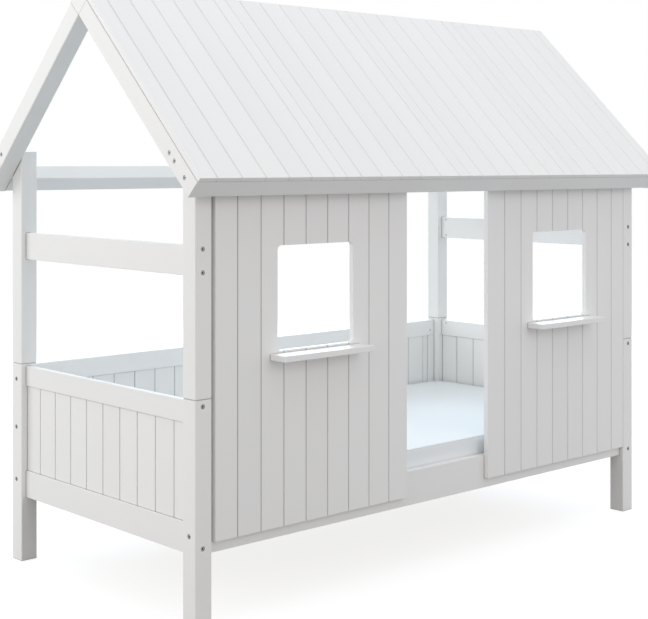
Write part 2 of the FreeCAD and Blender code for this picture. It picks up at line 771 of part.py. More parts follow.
def build_rear_panel(rail_bolt, rail_dowel, stile_bolt):
    """The rear side: a boarded panel in a frame of two rails and two stiles."""
    long = "Places.between_length"
    top = rail("rear_top_rail_blank", "Sizes.top_rail_tall", long, "bottom")
    bottom = rail("rear_bottom_rail_blank", "Sizes.bottom_rail_tall", long, "top")
    upright = stile("rear_stile_blank")
    infill = boards("rear_boards_blank",
                    f"{long} - 2 * Sizes.stile_wide + 2 * Sizes.groove_deep - 2 * Sizes.groove_play",
                    "Sizes.infill_thick", "Places.infill_tall", "Sizes.infill_tongue",
                    "Sizes.rear_edge_board", "Sizes.rear_board_joints")
    y = from_face("rear", "Sizes.rail_setback", "Sizes.rail_thick")
    y_middle = from_face("rear", "Places.rail_middle")
    x_start = from_end("right", "Sizes.post_side")
    rails = [("bottom", bottom), ("top", top)]
    for level, blank in rails:
        node = f"rear_{level}_rail"
        low = f"Sizes.{level}_rail_bottom"
        piece(node, blank, x_start, y, low, ALONG_LENGTH)
        for side in ("left", "right"):
            turn = aim(inward(side), -BACK)
            through = [f"post_lower_rear_{side}", node]
            fasten(rail_bolt, from_end(side, "0"), y_middle,
                   f"{low} + Sizes.rear_{level}_bolt_up", turn, through)
            fasten(rail_dowel, from_end(side, "Sizes.post_side"), y_middle,
                   f"{low} + Sizes.rear_{level}_dowel_up", turn, through)
    stile_y = {"left": y, "right": f"{y} + Sizes.rail_thick"}
    for side in ("left", "right"):
        piece("rear_stiles", upright, from_end(side, "Sizes.post_side"), stile_y[side],
              "Places.bottom_rail_top", aim(UP, inward(side)))
        fasten(stile_bolt, from_end(side, "0"), y_middle, "Sizes.stile_bolt_height",
               aim(inward(side), -BACK), [f"post_lower_rear_{side}", "rear_stiles"])
    board_start = from_end("left", "Sizes.post_side + Sizes.stile_wide - Sizes.groove_deep")
    piece("rear_boards", infill, f"{board_start} + Sizes.groove_play",
          f"{y_middle} - Sizes.infill_thick / 2", "Places.infill_bottom")


def build_front_rail(rail_bolt, rail_dowel):
    """The front rail, behind the wall boards and below the mattress's top."""
    blank = bar("front_rail_blank", "Sizes.front_rail_tall", "Sizes.front_rail_thick",
                "Places.between_length", "Sizes.rail_radius")
    piece("front_rail", blank, from_end("right", "Sizes.post_side"),
          from_face("front", "Sizes.wall_thick"), "Sizes.front_rail_bottom", ALONG_LENGTH)
    y_middle = from_face("front", "Places.front_rail_middle")
    for side in ("left", "right"):
        turn = aim(inward(side), BACK)
        through = [f"post_lower_front_{side}", "front_rail"]
        fasten(rail_bolt, from_end(side, "0"), y_middle, "Places.front_rail_centre", turn, through)
        for way in ("-", "+"):
            fasten(rail_dowel, from_end(side, "Sizes.post_side"), y_middle,
                   f"Places.front_rail_centre {way} Sizes.front_dowel_step", turn, through)


def build_slats():
    """Two cleats, and the slats that lie on them."""
    cleat = bar("cleat_blank", "Sizes.cleat_tall", "Sizes.cleat_thick", "Places.between_length",
                "Sizes.rail_radius")
    slat = bar("slat_blank", "Sizes.slat_wide", "Sizes.slat_thick", "Places.slat_long",
               "Sizes.rail_radius")
    slat_screw = screw("slat_screws", "Sizes.slat_thick + Sizes.screw_bite")
    cleat_screw = screw("cleat_screws", "Sizes.cleat_thick + Sizes.screw_bite")
    cleat_x = from_end("right", "Sizes.post_side")
    inner = {"front": "Places.front_rail_inner", "rear": "Places.rail_inner"}
    rail_node = {"front": "front_rail", "rear": "rear_bottom_rail"}
    screws = count("cleat_screw_count")
    for face in ("front", "rear"):
        node = f"slat_cleat_{face}"
        piece(node, cleat, cleat_x, from_face(face, inner[face], "Sizes.cleat_thick"),
              "Sizes.cleat_bottom", ALONG_LENGTH)
        for index in range(screws):
            along = f"Sizes.post_side + Places.between_length * {index + 0.5} / Sizes.cleat_screw_count"
            fasten(cleat_screw, from_end("left", along),
                   from_face(face, f"{inner[face]} + Sizes.cleat_thick"),
                   "Sizes.cleat_bottom + Sizes.cleat_tall / 2", aim(-into(face), RIGHT),
                   [node, rail_node[face]])
    total = count("slat_count")
    room = "(Places.between_length - 2 * Sizes.slat_margin - Sizes.slat_wide)"
    y_front = from_face("front", "Places.front_rail_inner + Sizes.slat_end_gap")
    for index in range(total):
        offset = f"Sizes.post_side + Sizes.slat_margin + {room} * {index} / (Sizes.slat_count - 1)"
        left = from_end("left", offset)
        piece("slats", slat, f"{left} + Sizes.slat_wide", y_front, "Places.slat_bottom", aim(BACK, -RIGHT))
        for face in ("front", "rear"):
            fasten(slat_screw, f"{left} + Sizes.slat_wide / 2",
                   from_face(face, f"{inner[face]} + Sizes.cleat_thick / 2"), "Places.slat_top",
                   aim(-UP, RIGHT), ["slats", f"slat_cleat_{face}"])


def build_mattress():
    """The mattress lies on the slats, between the end panels, the front rail and the rear panel."""
    piece("mattress", mattress(), from_end("left", "Places.rail_inner + Sizes.mattress_gap"),
          from_face("front", "Places.front_rail_inner + Sizes.mattress_gap"), "Places.slat_top")


def wall_board_middles(side):
    """The middle of each wall board, edge boards included, from the panel's left edge."""
    edge = "Sizes.wall_edge_board"
    shift = f"Sizes.{side}_board_shift"
    whole = board_middles("Places.wall_wide", edge, shift, "wall_board_joints")
    return [f"({edge} + {shift}) / 2"] + whole + [f"Places.wall_wide - ({edge} - {shift}) / 2"]


def build_walls():
    """Two front wall panels: boards, battens and a strip behind, brackets to the post, and a sill."""
    shelf = sill()
    corner = angle_bracket()
    strip_low = "(Sizes.front_rail_bottom + Sizes.front_rail_tall)"
    strip_tall = f"(Places.wall_batten_high + Sizes.wall_batten_tall - {strip_low})"
    strip = bar("wall_strip_blank", "Sizes.wall_strip_wide", "Sizes.wall_batten_thick", strip_tall,
                "Sizes.rail_radius")
    wall_screw = screw("wall_screws", "Sizes.wall_batten_thick + Sizes.screw_bite")
    rail_screw = screw("front_rail_screws", "Sizes.front_rail_thick + Sizes.screw_bite")
    sill_screw = screw("sill_screws", "Sizes.wall_thick + Sizes.sill_screw_bite")
    bracket_screw = screw("bracket_screws", "Sizes.bracket_screw_long")
    back = from_face("front", "Sizes.wall_thick")
    batten_back = f"{back} + Sizes.wall_batten_thick"
    turn_in = aim(-BACK, RIGHT)
    for side in ("left", "right"):
        wall = f"Places.{side}_wall"
        board_node = f"wall_boards_{side}"
        batten_node = f"wall_battens_{side}"
        middles = [f"{wall} + {across}" for across in wall_board_middles(side)]
        piece(board_node, wall_boards(side), wall, from_face("front", "0"), "Sizes.wall_bottom")
        # The strip closes the gap between the boards and the post, and the battens end at it.
        piece(batten_node, strip, from_end(side, "Sizes.post_side", "Sizes.wall_strip_wide"), back,
              strip_low)
        for index in range(count("strip_screw_count")):
            fasten(wall_screw, from_end(side, "Sizes.post_side + Sizes.strip_screw_inset"),
                   batten_back, f"{strip_low} + {strip_tall} * {index + 0.5} / Sizes.strip_screw_count",
                   turn_in, [batten_node, board_node])
        batten = bar(f"wall_batten_{side}_blank", "Sizes.wall_batten_tall", "Sizes.wall_batten_thick",
                     f"Places.wall_wide + Sizes.{side}_wall_gap - Sizes.wall_batten_inset"
                     " - Sizes.wall_strip_wide", "Sizes.rail_radius")
        batten_start = {
            "left": f"{wall} + Places.wall_wide - Sizes.wall_batten_inset",
            "right": from_end("right", "Sizes.post_side + Sizes.wall_strip_wide"),
        }
        for low in ("Places.wall_batten_low", "Places.wall_batten_middle", "Places.wall_batten_high"):
            piece(batten_node, batten, batten_start[side], back, low, ALONG_LENGTH)
            for x in middles:
                fasten(wall_screw, x, batten_back, f"{low} + Sizes.wall_batten_tall / 2", turn_in,
                       [batten_node, board_node])
        for low in ("Places.wall_batten_low", "Places.wall_batten_high"):
            bracket_low = f"{low} + (Sizes.wall_batten_tall - Sizes.bracket_tall) / 2"
            add_bracket(corner, bracket_screw, side, batten_back, bracket_low, batten_node)
        for x in middles:
            height = "Sizes.front_rail_bottom + Sizes.front_rail_tall - Sizes.front_rail_screw_drop"
            fasten(rail_screw, x, from_face("front", "Places.front_rail_inner"), height, turn_in,
                   ["front_rail", board_node])
        sill_low = "Places.window_bottom - Sizes.sill_drop - Sizes.sill_thick"
        sill_middle = f"{wall} + {window_middle(side)}"
        piece(f"window_sill_{side}", shelf, f"{sill_middle} - Sizes.sill_long / 2",
              from_face("front", "-Sizes.sill_deep"), sill_low)
        for way in (-1, 0, 1):
            fasten(sill_screw, f"{sill_middle} + {way} * Sizes.sill_screw_spread", back,
                   f"{sill_low} + Sizes.sill_thick / 2", turn_in, [board_node, f"window_sill_{side}"])


def add_bracket(corner, bracket_screw, side, batten_back, low, batten_node):
    """A bracket in the corner between a strip's back and a post, with a screw in each leg."""
    post_x = from_end(side, "Sizes.post_side")
    middle = f"{low} + Sizes.bracket_tall / 2"
    across = "Sizes.bracket_leg / 2 + Sizes.bracket_thick"
    if side == "left":
        piece("wall_brackets", corner, post_x, batten_back, low)
    else:
        piece("wall_brackets", corner, post_x, batten_back, low, aim(UP, BACK))
    fasten(bracket_screw, from_end(side, f"Sizes.post_side + {across}"),
           f"{batten_back} + Sizes.bracket_thick", middle, aim(-BACK, RIGHT),
           ["wall_brackets", batten_node])
    fasten(bracket_screw, from_end(side, "Sizes.post_side + Sizes.bracket_thick"),
           f"{batten_back} + {across}", middle, aim(-inward(side), UP),
           ["wall_brackets", f"post_upper_front_{side}"])


# Turns for pieces in the roof: their own z axis up or down a slope or out of it, or for pieces
# modelled along x, their own y axis in the slope.
UP_SLOPE = {
    "front": {"turn": ABOUT_MINUS_X, "angle": "90 - Sizes.roof_pitch"},
    "rear": {"turn": ABOUT_X, "angle": "90 - Sizes.roof_pitch"},
}
DOWN_SLOPE = {
    "front": {"turn": ABOUT_X, "angle": "90 + Sizes.roof_pitch"},
    "rear": {"turn": ABOUT_MINUS_X, "angle": "90 + Sizes.roof_pitch"},
}
ACROSS = {
    "front": {"turn": ABOUT_X, "angle": "Sizes.roof_pitch"},
    "rear": {"turn": ABOUT_MINUS_X, "angle": "Sizes.roof_pitch"},
}
OUT_OF_FRONT = ACROSS["front"]


def build_roof_frame():
    """Four rafters outside the posts, two eave beams between them, and the ridge beam."""
    rafter = bar("rafter_blank", "Sizes.rafter_wide", "Sizes.beam_side",
                 "Sizes.eave_reach + Places.slope_long - Sizes.beam_side - Sizes.rafter_seam")
    eave = bar("eave_beam_blank", "Sizes.beam_side", "Sizes.beam_side", "Sizes.frame_length",
               role="YZ_Plane")
    rafter_bolt = insert_bolt("rafter_bolts", "Sizes.rafter_wide")
    ridge_bolt = insert_bolt("ridge_bolts", "Sizes.beam_side")
    piece("ridge_beam", ridge_beam(), from_end("right", "-Sizes.rafter_wide"), "Places.mid_depth",
          "Places.apex_height", ALONG_LENGTH)
    for face in ("front", "rear"):
        eave_node = f"eave_beam_{face}"
        eave_start = "-Sizes.eave_reach" if face == "front" else "Places.lower_batten_along"
        piece(eave_node, eave, "Places.left_end", *on_slope(face, eave_start, "-Sizes.beam_side"),
              **ACROSS[face])
        underside = "0" if face == "front" else "-Sizes.beam_side"
        for side in ("left", "right"):
            node = f"rafter_{face}_{side}"
            piece(node, rafter, from_end(side, "-Sizes.rafter_wide", "Sizes.rafter_wide"),
                  *on_slope(face, "-Sizes.eave_reach", underside), **UP_SLOPE[face])
            bolt_rafter(rafter_bolt, face, side, node, eave_node)
            bolt_ridge(ridge_bolt, face, side, node)


def bolt_rafter(rafter_bolt, face, side, node, eave_node):
    """Two bolts from a rafter into its post, and one into the eave beam."""
    post_node = f"post_upper_{face}_{side}"
    bolts = [
        ("Sizes.post_bolt_along", post_node),
        ("Sizes.post_bolt_along - Sizes.post_bolt_step", post_node),
        ("Places.lower_batten_along - Sizes.eave_bolt_inset", eave_node),
    ]
    for along, other in bolts:
        y, z = on_slope(face, along, "-Sizes.rafter_bolt_deep")
        fasten(rafter_bolt, from_end(side, "-Sizes.rafter_wide"), y, z, aim(inward(side), UP),
               [node, other])


def bolt_ridge(ridge_bolt, face, side, node):
    """A bolt through the ridge beam, from its far upper face, into a rafter's end."""
    way = "+" if face == "front" else "-"
    x = from_end(side, f"-Sizes.rafter_wide / 2 {way} Sizes.ridge_bolt_spread")
    y = f"Places.mid_depth {way} Sizes.beam_side / 2 * Places.roof_cos"
    z = "Places.apex_height - Sizes.beam_side / 2 * Places.roof_sin"
    fasten(ridge_bolt, x, y, z, through=["ridge_beam", node], **DOWN_SLOPE[face])


def build_roof_panels():
    """Boarded panels side by side on the front slope, each on two battens."""
    panel = boards("roof_boards_blank", "Places.roof_panel_wide", "Sizes.roof_board_thick",
                   "Places.roof_board_long", "Sizes.wall_tongue", "Sizes.roof_edge_board",
                   "Sizes.roof_board_joints", "Sizes.roof_board_shift")
    batten = bar("roof_batten_blank", "Sizes.roof_batten_wide", "Sizes.roof_batten_thick",
                 "Places.roof_batten_long", "Sizes.rail_radius", "YZ_Plane")
    board_screw = screw("roof_board_screws", "Sizes.roof_batten_thick + Sizes.roof_board_bite")
    fixing_screw = screw("roof_fixing_screws", "Sizes.roof_batten_wide + Sizes.roof_fixing_bite")
    whole = board_middles("Places.roof_panel_wide", "Sizes.roof_edge_board",
                          "Sizes.roof_board_shift", "roof_board_joints")
    first_narrow = "Sizes.roof_edge_board + Sizes.roof_board_shift - Sizes.narrow_board_screw"
    last_narrow = ("Places.roof_panel_wide - Sizes.roof_edge_board + Sizes.roof_board_shift"
                   " + Sizes.narrow_board_screw")
    total = count("roof_panel_count")
    for index in range(total):
        node = f"roof_panel_{index + 1}"
        left = f"Places.roof_left + {index} * Places.roof_pitch_wide"
        piece(node, panel, left, *on_slope("front", "-Sizes.eave_reach",
                                           "Sizes.roof_board_thick + Sizes.roof_board_seam"),
              **UP_SLOPE["front"])
        # An outer panel's battens stop short of the rafter that its outer board lies on.
        batten_left = f"{left} + (Places.roof_panel_wide - Places.roof_batten_long) / 2"
        narrow = [first_narrow, last_narrow]
        if index == 0:
            batten_left = "Places.left_end + Sizes.roof_batten_clear"
            narrow = narrow[1:]
        if index == total - 1:
            batten_left = "Places.right_end - Sizes.roof_batten_clear - Places.roof_batten_long"
            narrow = narrow[:1]
        across = [f"{left} + {middle}" for middle in whole + narrow]
        add_batten("lower", batten, batten_left, left, board_screw, fixing_screw, node, across)
        add_batten("upper", batten, batten_left, left, board_screw, fixing_screw, node, across)


def add_batten(level, batten, batten_left, panel_left, board_screw, fixing_screw, panel_node, across):
    """A batten under a roof panel, screwed to its boards and sideways to a beam."""
    along = f"Places.{level}_batten_along"
    middle = f"{along} + Sizes.roof_batten_wide / 2"
    under = "Sizes.roof_board_seam - Sizes.roof_batten_thick"
    piece("roof_battens", batten, batten_left, *on_slope("front", along, under), **ACROSS["front"])
    for x in across:
        fasten(board_screw, x, *on_slope("front", middle, under),
               through=["roof_battens", panel_node], **OUT_OF_FRONT)
    # The lower batten is screwed down into the eave beam, the upper one up into the ridge beam.
    start, turn, beam = f"{along} + Sizes.roof_batten_wide", DOWN_SLOPE["front"], "eave_beam_front"
    if level == "upper":
        start, turn, beam = along, UP_SLOPE["front"], "ridge_beam"
    y, z = on_slope("front", start, "Sizes.roof_board_seam - Sizes.roof_batten_thick / 2")
    for inset in ("Sizes.roof_fixing_inset", "Places.roof_panel_wide - Sizes.roof_fixing_inset"):
        fasten(fixing_screw, f"{panel_left} + {inset}", y, z, through=["roof_battens", beam], **turn)


def build_all():
    rail_bolt = nut_bolt("rail_bolts", "Sizes.post_side", "Sizes.front_rail_thick")
    stile_bolt = insert_bolt("stile_bolts", "Sizes.post_side")
    rail_dowel = dowel("rail_dowels", "Sizes.dowel_radius", "Sizes.dowel_long")
    build_posts()
    build_end_panels(rail_bolt, rail_dowel)
    build_rear_panel(rail_bolt, rail_dowel, stile_bolt)
    build_front_rail(rail_bolt, rail_dowel)
    build_slats()
    build_mattress()
    build_walls()
    build_roof_frame()
    build_roof_panels()


def finish_node(node):
    """One named sub-part: its solids, with the spaces for their fasteners cut away."""
    solids = blanks[node]
    if node not in cutters:
        result = combine("Compound", node, solids)
    else:
        base = solids[0] if len(solids) == 1 else combine("Compound", f"{node}_blanks", solids)
        tool = combine("Compound", f"{node}_spaces", cutters[node])
        result = subtract(node, base, tool)
    result.Label = node
    return result


def check(objects, nodes):
    """Stop before anything is written if an object failed or a sub-part has no sound shape."""
    for item in objects:
        if {"Invalid", "Error"} & set(item.State):
            raise RuntimeError(f"{item.Label} did not recompute: {item.State}")
    for item in nodes:
        if item.Shape.isNull() or not item.Shape.isValid():
            raise RuntimeError(f"{item.Label} has no sound shape")


build_all()
doc.recompute()
sub_parts = [finish_node(node) for node in blanks]
doc.recompute()
check(doc.Objects, sub_parts)
for sub_part in sub_parts:
    sub_part.Shape.exportStep(f"parts/{sub_part.Label}.step")
    print(sub_part.Label, len(sub_part.Shape.Solids), "solids")
print(len(sub_parts), "sub-parts")
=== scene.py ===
# %% [markdown]
# # A child's house frame bed, painted white
# The bed is built from squared softwood: four corner posts, boarded ends and rear, a front wall with
# two windows and a doorway, and a pitched roof boarded on its front slope. Its joinery comes ready
# made, as one mesh per piece. This script dresses it: paint, bare wood, steel, a mattress with a
# sewn cover, light and a camera. Everything is in metres, with +Z up and +Y to the rear.

# %% Load the frame
import math
import bpy
from mathutils import Matrix, Vector


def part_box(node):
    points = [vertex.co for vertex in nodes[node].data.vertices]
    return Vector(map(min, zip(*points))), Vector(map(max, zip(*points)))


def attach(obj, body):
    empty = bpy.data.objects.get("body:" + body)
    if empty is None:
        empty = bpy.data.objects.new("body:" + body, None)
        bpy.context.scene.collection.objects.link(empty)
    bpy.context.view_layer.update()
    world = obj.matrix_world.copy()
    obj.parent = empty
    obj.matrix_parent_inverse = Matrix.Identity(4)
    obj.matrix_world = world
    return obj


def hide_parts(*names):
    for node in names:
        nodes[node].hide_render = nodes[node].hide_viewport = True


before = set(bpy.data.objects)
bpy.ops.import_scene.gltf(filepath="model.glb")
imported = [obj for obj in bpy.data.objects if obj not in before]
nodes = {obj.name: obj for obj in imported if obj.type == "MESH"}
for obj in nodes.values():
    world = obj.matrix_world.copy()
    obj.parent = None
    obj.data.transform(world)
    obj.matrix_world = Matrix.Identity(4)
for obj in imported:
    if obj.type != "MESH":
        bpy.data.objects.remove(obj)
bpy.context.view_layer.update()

MM = 0.001
print("pieces from the frame:", len(nodes))

# %% [markdown]
# ## Colours and nodes
# Colours are written as they look on screen, as sRGB hex. Blender's shaders want linear light, so
# one function converts them. A second small function adds a shader node, sets it and links it.

# %% Colour and node helpers
CHANNEL_MAX = 255
# The sRGB curve is a straight line up to its knee, and a power curve above it.
SRGB_KNEE = 0.04045
SRGB_SLOPE = 12.92
SRGB_OFFSET = 0.055
SRGB_POWER = 2.4


def channel_light(level):
    """The linear light of one channel, from its level on screen between 0 and 1."""
    if level <= SRGB_KNEE:
        return level / SRGB_SLOPE
    return ((level + SRGB_OFFSET) / (1 + SRGB_OFFSET)) ** SRGB_POWER


def linear(hex_colour):
    """A linear RGBA colour from an sRGB hex value."""
    channels = bytes.fromhex(hex_colour.lstrip("#"))
    return (*(channel_light(channel / CHANNEL_MAX) for channel in channels), 1.0)


def add(tree, kind, inputs=None, **settings):
    """Add a node to a tree, with its settings, and with its inputs set or linked."""
    made = tree.nodes.new(kind)
    for name, setting in settings.items():
        setattr(made, name, setting)
    for name, source in (inputs or {}).items():
        if isinstance(source, bpy.types.NodeSocket):
            tree.links.new(source, made.inputs[name])
        else:
            made.inputs[name].default_value = source
    return made


def new_material(name):
    """A node material with nothing in it yet, and its tree."""
    material = bpy.data.materials.new(name)
    material.use_nodes = True
    material.node_tree.nodes.clear()
    return material, material.node_tree


def dress(material, *names):
    """Give frame pieces one material, by the start of their names."""
    dressed = [name for name in nodes if name.startswith(names)]
    for name in dressed:
        nodes[name].data.materials.clear()
        nodes[name].data.materials.append(material)
    print(material.name, "on", len(dressed), "pieces")


# %% [markdown]
# ## Painted shade in joints and sockets
# A joint between two boards shows as a dark line, because little light gets into it. It is finer
# than a pixel, so light alone draws it too faint, and the missing shade is painted into the colour.
# It could be painted on as a texture, and would then have to be painted again after each change of
# size. An Ambient Occlusion node finds it from the shape instead: it says how open a point is to its
# surroundings, the colour is darkened by that share as painted shade, and a power sets its strength.

# %% Painted shade in hollows
PAINTED_SHADE_REACH = 4.0 * MM
PAINTED_SHADE_SAMPLES = 8


def painted_hollow_shade(tree, colour, power):
    """A colour with painted shade in joints, seams and sockets, as far as nearby faces close them in.
    """
    hollow = add(tree, "ShaderNodeAmbientOcclusion", {"Distance": PAINTED_SHADE_REACH},
                 samples=PAINTED_SHADE_SAMPLES)
    open_share = add(tree, "ShaderNodeMath", {0: hollow.outputs["AO"], 1: power},
                     operation="POWER")
    shaded = add(tree, "ShaderNodeVectorMath", {0: colour, "Scale": open_share.outputs[0]},
                 operation="SCALE")
    return shaded.outputs[0]


# %% [markdown]
# ## A tone for each board
# Boards differ a little in tone, because each comes from another tree. The boards of a panel are
# one piece here, so they share a material, which has to tell them apart. It counts each board's
# number from its place along the row, and a White Noise node turns the number into a tone. The
# first and the last board of a row are cut to fit, and the others are equal. The roof is a row of
# equal panels, so its boards are counted within their panel.

# %% Tones by a board's number
PANEL_SEAM = 1.0 * MM
# Each panel's boards are numbered on from a round number, so that no two boards share one.
NUMBERS_PER_PANEL = 100.0


def board_row(name, axis, equal, first, last):
    """The axis, start, panel length, first board and pitch of a row, from its piece's box."""
    low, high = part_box(name)
    wide = high[axis] - low[axis]
    return axis, low[axis], wide + PANEL_SEAM, first, (wide - first - last) / equal


def board_tone(tree, place, axis, start, panel, first, pitch):
    """A tone from 0 to 1 that is the same over a board, by its panel's and its own number."""
    parts = add(tree, "ShaderNodeSeparateXYZ", {"Vector": place})
    along = add(tree, "ShaderNodeMath", {0: parts.outputs[axis], 1: start}, operation="SUBTRACT")
    panel_lengths = add(tree, "ShaderNodeMath", {0: along.outputs[0], 1: panel},
                        operation="DIVIDE")
    panels = add(tree, "ShaderNodeMath", {0: panel_lengths.outputs[0]}, operation="FLOOR")
    within = add(tree, "ShaderNodeMath", {0: panels.outputs[0], 1: -panel, 2: along.outputs[0]},
                 operation="MULTIPLY_ADD")
    past_first = add(tree, "ShaderNodeMath", {0: within.outputs[0], 1: pitch - first},
                     operation="ADD")
    pitches = add(tree, "ShaderNodeMath", {0: past_first.outputs[0], 1: pitch},
                  operation="DIVIDE")
    boards = add(tree, "ShaderNodeMath", {0: pitches.outputs[0]}, operation="FLOOR")
    number = add(tree, "ShaderNodeMath",
                 {0: panels.outputs[0], 1: NUMBERS_PER_PANEL, 2: boards.outputs[0]},
                 operation="MULTIPLY_ADD")
    tone = add(tree, "ShaderNodeTexWhiteNoise", {"W": number.outputs[0]}, noise_dimensions="1D")
    return tone.outputs["Value"]


# %% [markdown]
# ## Satin white paint on sanded softwood
# The posts, rails, boards and beams are pine, sanded and sprayed with a white satin lacquer. A
# picture of painted wood would repeat from board to board, so each part of the look is worked out
# by nodes. First comes the colour: a warm white, which a wide noise makes a little cloudy.

# %% Colour of the paint
PAINT = "#F1F0EE"
CLOUD_SIZE = 350.0 * MM
CLOUD_DETAIL = 2.0
TONE_LOSS = 0.04
# Two tones of up to 1 are added for each point.
MOST_TONE = 2.0


def paint_colour(tree, place, row):
    """White paint under a soft cloud, with a tone for each board of a row, or the cloud twice."""
    cloud = add(tree, "ShaderNodeTexNoise",
                {"Vector": place, "Scale": 1 / CLOUD_SIZE, "Detail": CLOUD_DETAIL})
    tone = board_tone(tree, place, *row) if row else cloud.outputs["Fac"]
    both = add(tree, "ShaderNodeMath", {0: tone, 1: cloud.outputs["Fac"]}, operation="ADD")
    shade = add(tree, "ShaderNodeMapRange",
                {"Value": both.outputs[0], "From Max": MOST_TONE, "To Min": 1.0 - TONE_LOSS,
                 "To Max": 1.0})
    colour = add(tree, "ShaderNodeVectorMath",
                 {0: linear(PAINT)[:3], 1: shade.outputs[0]}, operation="MULTIPLY")
    return colour.outputs[0]


# %% [markdown]
# The growth rings of the wood stand under the paint by a few hundredths of a millimetre, in long
# lines along each timber. They are a noise that a Mapping node stretches: it is fine across the
# timber and long along it.

# %% Growth rings under the paint
RING_WIDTH = 5.0 * MM
RING_LENGTH = 240.0 * MM
RING_DETAIL = 3.0
RING_WAVINESS = 0.6
RING_RELIEF = 0.05 * MM


def ring_relief(tree, place, turn):
    """Growth rings standing under the paint, along the x axis of turned coordinates."""
    turned = add(tree, "ShaderNodeMapping", {"Vector": place, "Rotation": turn})
    ring_scale = (1 / RING_LENGTH, 1 / RING_WIDTH, 1 / RING_WIDTH)
    stretched = add(tree, "ShaderNodeMapping",
                    {"Vector": turned.outputs[0], "Scale": ring_scale})
    rings = add(tree, "ShaderNodeTexNoise",
                {"Vector": stretched.outputs[0], "Scale": 1.0, "Detail": RING_DETAIL,
                 "Distortion": RING_WAVINESS})
    relief = add(tree, "ShaderNodeBump", {"Height": rings.outputs["Fac"], "Distance": RING_RELIEF})
    return relief.outputs[0]


# %% [markdown]
# The paint is no mirror: spraying leaves a faint orange-peel surface over the rings. That is a fine
# noise without a direction, and it changes the roughness a little too, so that highlights are soft
# and slightly uneven.

# %% Painted wood
PAINT_IOR = 1.5
PAINT_ROUGHNESS = 0.45
ROUGHNESS_SPREAD = 0.05
PEEL_SIZE = 1.6 * MM
PEEL_DETAIL = 2.0
PEEL_RELIEF = 0.012 * MM
TIMBER_PAINTED_SHADE_POWER = 1.0


def painted_wood(name, turn, row=None, painted_shade_power=TIMBER_PAINTED_SHADE_POWER):
    """Satin paint over grain along the x axis of turned coordinates, with a row of boards or none."""
    material, tree = new_material(name)
    place = add(tree, "ShaderNodeTexCoord").outputs["Object"]
    # Painted shade in joints and seams darkens the paint's colour.
    colour = painted_hollow_shade(tree, paint_colour(tree, place, row), painted_shade_power)
    peel = add(tree, "ShaderNodeTexNoise",
               {"Vector": place, "Scale": 1 / PEEL_SIZE, "Detail": PEEL_DETAIL})
    finish = add(tree, "ShaderNodeBump",
                 {"Height": peel.outputs["Fac"], "Distance": PEEL_RELIEF,
                  "Normal": ring_relief(tree, place, turn)})
    rough = add(tree, "ShaderNodeMapRange",
                {"Value": peel.outputs["Fac"], "To Min": PAINT_ROUGHNESS - ROUGHNESS_SPREAD,
                 "To Max": PAINT_ROUGHNESS + ROUGHNESS_SPREAD})
    shader = add(tree, "ShaderNodeBsdfPrincipled",
                 {"Base Color": colour, "Roughness": rough.outputs[0],
                  "Normal": finish.outputs[0], "IOR": PAINT_IOR})
    add(tree, "ShaderNodeOutputMaterial", {"Surface": shader.outputs[0]})
    return material


# %% [markdown]
# Grain follows the timber, so there is one painted wood for each way that timber runs: along the
# bed, across it, upright, and up each roof slope. A Mapping node turns coordinates the other way
# round from an object, so the angles below bring each timber's own length onto the x axis.

# %% Painted posts, rails, beams and rafters
PITCH = math.radians(45)
QUARTER = math.radians(90)
LENGTHWISE = (0.0, 0.0, 0.0)
CROSSWISE = (0.0, 0.0, -QUARTER)
UPRIGHT = (0.0, QUARTER, 0.0)
MATRIX_SIZE = 3


def slope_turn(way):
    """Coordinates turned so that a slope's rise lies along x, with 1 for front and -1 for rear."""
    rise = Matrix.Rotation(way * (QUARTER - PITCH), MATRIX_SIZE, "X")
    return (Matrix.Rotation(QUARTER, MATRIX_SIZE, "Y") @ rise).to_euler()


FRONT_SLOPE = slope_turn(1)
REAR_SLOPE = slope_turn(-1)
lengthwise = painted_wood("white_satin_paint_lengthwise", LENGTHWISE)
crosswise = painted_wood("white_satin_paint_crosswise", CROSSWISE)
upright = painted_wood("white_satin_paint_upright", UPRIGHT)
dress(upright, "post_lower", "post_upper", "rear_stiles")
dress(crosswise, "end_bottom_rail", "end_top_rail", "end_cross_rail")
dress(lengthwise, "rear_bottom_rail", "rear_top_rail", "front_rail", "window_sill", "wall_battens",
      "roof_battens", "ridge_beam", "eave_beam")
dress(painted_wood("white_satin_paint_front_rafters", FRONT_SLOPE), "rafter_front")
dress(painted_wood("white_satin_paint_rear_rafters", REAR_SLOPE), "rafter_rear")

# %% [markdown]
# The boards stand upright in the ends and walls, and run up the slope on the roof. The joints of
# the ends are the darkest, those of the walls are weaker, and those of the roof hardly show. So the
# ends keep the full painted shade in their joints, and the walls and the roof get less.

# %% Painted boards
X_AXIS = 0
Y_AXIS = 1
WALL_PAINTED_SHADE_POWER = 0.6
ROOF_PAINTED_SHADE_POWER = 0.15

